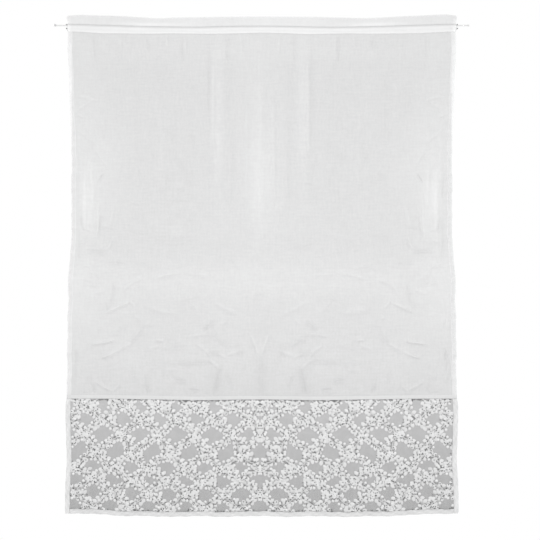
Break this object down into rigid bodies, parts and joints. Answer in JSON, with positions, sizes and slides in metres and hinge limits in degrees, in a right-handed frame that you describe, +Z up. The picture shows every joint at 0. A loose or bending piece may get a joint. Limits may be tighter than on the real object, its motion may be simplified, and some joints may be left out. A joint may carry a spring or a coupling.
{
  "type": "sheer curtain and rod",
  "caption": "Flat-hung white sheer voile curtain with a floral lace band along its foot, slipped over a thin round rod through a sewn pocket.",
  "frame": {"origin": "middle of the rod's axis at its ends' height, where the curtain is held up", "axes": "+X along the rod to the right seen from the front, +Y to the back (the window), +Z up"},
  "size_m": [1.4932, 0.0143, 1.8089],
  "materials": {
    "voile": "thin plain-woven white voile, matt",
    "lace": "white floral lace on a fine net ground",
    "binding": "folded plain white cloth strip",
    "rod": "white paint, satin",
    "cap": "white moulded plastic"
  },
  "bodies": {
    "root": {"voile_panel": "voile", "lace_band": "lace", "binding_left": "binding", "binding_right": "binding", "binding_bottom": "binding", "rod": "rod", "rod_cap_left": "cap", "rod_cap_right": "cap"}
  },
  "joints": []
}
